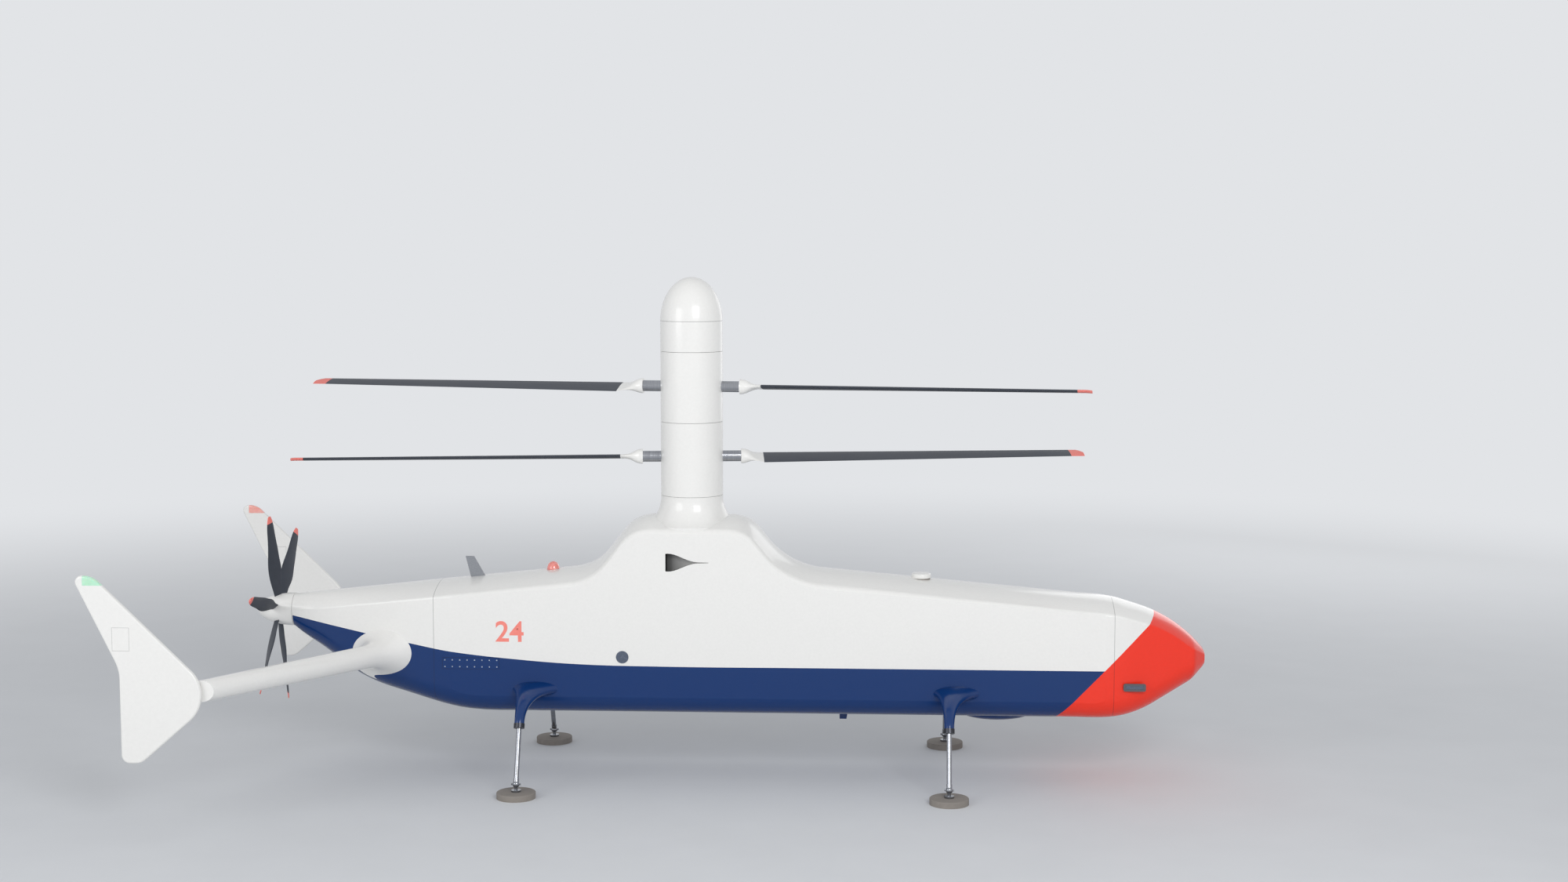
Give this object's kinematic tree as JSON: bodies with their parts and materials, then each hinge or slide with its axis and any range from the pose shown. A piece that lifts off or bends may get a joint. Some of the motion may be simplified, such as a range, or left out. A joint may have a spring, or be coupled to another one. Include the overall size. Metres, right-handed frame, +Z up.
{
  "type": "coaxial helicopter",
  "caption": "Unmanned coaxial helicopter with contra-rotating rotors on a tall mast, a pusher tail propeller, twin fins on booms and four padded legs.",
  "frame": {"origin": "on the ground, midway between the nose and the rear tips of the fins, on the centre plane", "axes": "+X towards the nose, +Y towards the port side, +Z up"},
  "size_m": [4.5384, 2.21, 2.168],
  "materials": {
    "hull_paint": "gloss",
    "white_paint": "gloss",
    "red_paint": "gloss",
    "navy_paint": "gloss",
    "pad_grey": "matte",
    "chrome": "polished",
    "steel": "satin",
    "red_lens": "gloss",
    "green_lens": "gloss",
    "blade_grey": "satin",
    "dark_grey": "satin"
  },
  "bodies": {
    "airframe": {"beacon_light": "red_lens", "belly_antenna": "dark_grey", "belly_dome": "dark_grey", "blade_antenna": "dark_grey", "centre_fuselage": "hull_paint", "front_left_foot_joint": "chrome", "front_left_foot_pad": "pad_grey", "front_left_leg_fairing": "navy_paint", "front_left_leg_strut": "chrome", "front_right_foot_joint": "chrome", "front_right_foot_pad": "pad_grey", "front_right_leg_fairing": "navy_paint", "front_right_leg_strut": "chrome", "gps_antenna": "white_paint", "left_fin": "white_paint", "left_nav_light": "red_lens", "left_tail_boom": "white_paint", "leg_collars": "steel", "mast_collar": "white_paint", "mast_dome": "white_paint", "mast_ring": "white_paint", "mast_tube": "steel", "nose_cone": "red_paint", "nose_lamps": "dark_grey", "rear_left_foot_joint": "chrome", "rear_left_foot_pad": "pad_grey", "rear_left_leg_fairing": "navy_paint", "rear_left_leg_strut": "chrome", "rear_right_foot_joint": "chrome", "rear_right_foot_pad": "pad_grey", "rear_right_leg_fairing": "navy_paint", "rear_right_leg_strut": "chrome", "right_fin": "white_paint", "right_nav_light": "green_lens", "right_tail_boom": "white_paint", "service_panels": "navy_paint", "side_ports": "dark_grey", "tail_fuselage": "hull_paint"},
    "upper_rotor": {"upper_front_blade": "blade_grey", "upper_front_cuff": "white_paint", "upper_hub": "white_paint", "upper_rear_blade": "blade_grey", "upper_rear_cuff": "white_paint", "upper_spindles": "chrome"},
    "lower_rotor": {"lower_front_blade": "blade_grey", "lower_front_cuff": "white_paint", "lower_hub": "white_paint", "lower_rear_blade": "blade_grey", "lower_rear_cuff": "white_paint", "lower_spindles": "chrome"},
    "tail_propeller": {"tail_spinner": "white_paint", "tail_shaft": "steel", "tail_blades": "blade_grey"}
  },
  "joints": [
    {"name": "upper_rotor_spin", "type": "hinge", "parent": "airframe", "child": "upper_rotor", "pos_m": [0.058, 0, 1.696], "axis": [0, 0, 1], "continuous": true},
    {"name": "lower_rotor_spin", "type": "hinge", "parent": "airframe", "child": "lower_rotor", "pos_m": [0.058, 0, 1.392], "axis": [0, 0, 1], "continuous": true},
    {"name": "tail_propeller_spin", "type": "hinge", "parent": "airframe", "child": "tail_propeller", "pos_m": [-1.702, 0, 0.703], "axis": [1, 0, 0], "continuous": true}
  ],
  "couplings": [
    {"joint": "lower_rotor_spin", "follows": "upper_rotor_spin", "ratio": -1}
  ]
}
